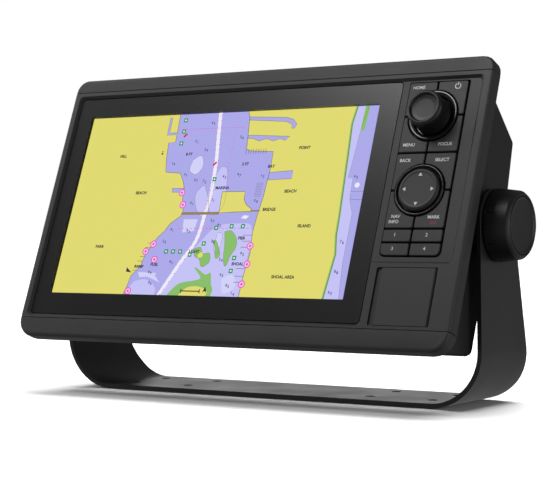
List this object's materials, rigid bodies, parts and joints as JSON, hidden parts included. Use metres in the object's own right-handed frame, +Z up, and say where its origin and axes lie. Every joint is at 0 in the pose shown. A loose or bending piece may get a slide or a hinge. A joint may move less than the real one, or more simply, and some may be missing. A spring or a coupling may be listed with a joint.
{
  "type": "chartplotter display",
  "caption": "Marine chartplotter: wide screen head with keys, turning knob, four-way pad and card door, tilting on a bail bracket with clamp knobs.",
  "frame": {"origin": "centre of the underside of the bracket's base", "axes": "+X to the right of someone facing the screen, +Y away from them, +Z up"},
  "size_m": [0.3444, 0.1171, 0.2086],
  "materials": {
    "bracket_coat": "satin black powder coat on aluminium strip",
    "bezel_plastic": "fine matt charcoal moulding",
    "housing_plastic": "matt black moulding",
    "knob_plastic": "satin black moulding",
    "key_plastic": null,
    "gloss_trim": "glossy dark trim",
    "screen_glass": "glossy, black border printed behind it",
    "lcd": "lit picture of an invented chart",
    "rubber": "matt black rubber",
    "silicone": "grey silicone",
    "ceramic": "antenna ceramic",
    "circuit_board": "green solder resist",
    "sheet_metal": "plain sheet",
    "steel": "stainless",
    "brass": "machined"
  },
  "bodies": {
    "bracket": {"bail_bracket": "bracket_coat"},
    "head": {"front_bezel": "bezel_plastic", "top_trim": "bezel_plastic", "bottom_trim": "bezel_plastic", "cover_glass": "screen_glass", "lcd_panel": "lcd", "display_frame": "sheet_metal", "chassis_plate": "sheet_metal", "main_board": "circuit_board", "heat_spreader": "sheet_metal", "gps_antenna": "ceramic", "keypad_board": "circuit_board", "keypad_mat": "silicone", "knob_collar": "gloss_trim", "dpad_ring": "gloss_trim", "encoder_body": "steel", "card_reader": "housing_plastic", "card_door_pin": "steel", "rear_housing": "housing_plastic", "case_gasket": "rubber", "vent_plug": "rubber", "left_insert": "brass", "right_insert": "brass", "left_friction_pad": "rubber", "right_friction_pad": "rubber", "power_socket": "housing_plastic", "data_socket": "housing_plastic", "sonar_socket": "housing_plastic", "radar_socket": "housing_plastic", "case_screw_1": "steel", "case_screw_2": "steel", "case_screw_3": "steel", "case_screw_4": "steel", "case_screw_5": "steel", "case_screw_6": "steel"},
    "left_stud": {"left_stud": "steel"},
    "left_knob": {"left_knob": "knob_plastic", "left_knob_cap": "knob_plastic"},
    "right_stud": {"right_stud": "steel"},
    "right_knob": {"right_knob": "knob_plastic", "right_knob_cap": "knob_plastic"},
    "home_key": {"home_key": "key_plastic"},
    "power_key": {"power_key": "key_plastic"},
    "menu_key": {"menu_key": "key_plastic"},
    "focus_key": {"focus_key": "key_plastic"},
    "back_key": {"back_key": "key_plastic"},
    "select_key": {"select_key": "key_plastic"},
    "info_key": {"info_key": "key_plastic"},
    "mark_key": {"mark_key": "key_plastic"},
    "key_1": {"key_1": "key_plastic"},
    "key_2": {"key_2": "key_plastic"},
    "key_3": {"key_3": "key_plastic"},
    "key_4": {"key_4": "key_plastic"},
    "dpad_pivot": {"dpad_pivot": "steel"},
    "dpad_cap": {"dpad_cap": "key_plastic"},
    "encoder_plunger": {"encoder_plunger": "silicone"},
    "zoom_knob": {"zoom_knob": "knob_plastic", "encoder_shaft": "steel"},
    "card_door": {"card_door": "bezel_plastic", "card_door_seal": "rubber"}
  },
  "joints": [
    {"name": "head_tilt", "type": "hinge", "parent": "bracket", "child": "head", "pos_m": [0, -0.0128, 0.1085], "axis": [-1, 0, 0], "range_deg": [-26, 60]},
    {"name": "left_clamp_travel", "type": "slide", "parent": "bracket", "child": "left_stud", "axis": [-1, 0, 0], "range_m": [0, 0.01001]},
    {"name": "left_clamp_turn", "type": "hinge", "parent": "left_stud", "child": "left_knob", "pos_m": [0, -0.0128, 0.1085], "axis": [-1, 0, 0], "range_deg": [0, 3600]},
    {"name": "right_clamp_travel", "type": "slide", "parent": "bracket", "child": "right_stud", "axis": [1, 0, 0], "range_m": [0, 0.01001]},
    {"name": "right_clamp_turn", "type": "hinge", "parent": "right_stud", "child": "right_knob", "pos_m": [0, -0.0128, 0.1085], "axis": [1, 0, 0], "range_deg": [0, 3600]},
    {"name": "home_key_press", "type": "slide", "parent": "head", "child": "home_key", "axis": [0, 0.9336, -0.3584], "range_m": [0, 0.0008], "stiffness_N_per_m": 2500},
    {"name": "power_key_press", "type": "slide", "parent": "head", "child": "power_key", "axis": [0, 0.9336, -0.3584], "range_m": [0, 0.0008], "stiffness_N_per_m": 2500},
    {"name": "menu_key_press", "type": "slide", "parent": "head", "child": "menu_key", "axis": [0, 0.9336, -0.3584], "range_m": [0, 0.0008], "stiffness_N_per_m": 2500},
    {"name": "focus_key_press", "type": "slide", "parent": "head", "child": "focus_key", "axis": [0, 0.9336, -0.3584], "range_m": [0, 0.0008], "stiffness_N_per_m": 2500},
    {"name": "back_key_press", "type": "slide", "parent": "head", "child": "back_key", "axis": [0, 0.9336, -0.3584], "range_m": [0, 0.0008], "stiffness_N_per_m": 2500},
    {"name": "select_key_press", "type": "slide", "parent": "head", "child": "select_key", "axis": [0, 0.9336, -0.3584], "range_m": [0, 0.0008], "stiffness_N_per_m": 2500},
    {"name": "info_key_press", "type": "slide", "parent": "head", "child": "info_key", "axis": [0, 0.9336, -0.3584], "range_m": [0, 0.0008], "stiffness_N_per_m": 2500},
    {"name": "mark_key_press", "type": "slide", "parent": "head", "child": "mark_key", "axis": [0, 0.9336, -0.3584], "range_m": [0, 0.0008], "stiffness_N_per_m": 2500},
    {"name": "key_1_press", "type": "slide", "parent": "head", "child": "key_1", "axis": [0, 0.9336, -0.3584], "range_m": [0, 0.0008], "stiffness_N_per_m": 2500},
    {"name": "key_2_press", "type": "slide", "parent": "head", "child": "key_2", "axis": [0, 0.9336, -0.3584], "range_m": [0, 0.0008], "stiffness_N_per_m": 2500},
    {"name": "key_3_press", "type": "slide", "parent": "head", "child": "key_3", "axis": [0, 0.9336, -0.3584], "range_m": [0, 0.0008], "stiffness_N_per_m": 2500},
    {"name": "key_4_press", "type": "slide", "parent": "head", "child": "key_4", "axis": [0, 0.9336, -0.3584], "range_m": [0, 0.0008], "stiffness_N_per_m": 2500},
    {"name": "dpad_tip_up_down", "type": "hinge", "parent": "head", "child": "dpad_pivot", "pos_m": [0.1229, -0.04496, 0.1277], "axis": [1, 0, 0], "range_deg": [-3, 3], "stiffness_Nm_per_rad": 0.6},
    {"name": "dpad_tip_left_right", "type": "hinge", "parent": "dpad_pivot", "child": "dpad_cap", "pos_m": [0.1229, -0.04496, 0.1277], "axis": [0, 0.3584, 0.9336], "range_deg": [-3, 3], "stiffness_Nm_per_rad": 0.6},
    {"name": "zoom_press", "type": "slide", "parent": "head", "child": "encoder_plunger", "axis": [0, 0.9336, -0.3584], "range_m": [0, 0.0005], "stiffness_N_per_m": 8000},
    {"name": "zoom_turn", "type": "hinge", "parent": "encoder_plunger", "child": "zoom_knob", "pos_m": [0.1229, -0.03294, 0.17407], "axis": [0, 0.9336, -0.3584], "continuous": true},
    {"name": "card_door_hinge", "type": "hinge", "parent": "head", "child": "card_door", "pos_m": [0.1424, -0.07195, 0.06715], "axis": [0, 0.3584, 0.9336], "range_deg": [0, 100]}
  ],
  "couplings": [
    {"joint": "left_clamp_travel", "follows": "left_clamp_turn", "m_per_rad": 0.00015915},
    {"joint": "right_clamp_travel", "follows": "right_clamp_turn", "m_per_rad": 0.00015915}
  ]
}
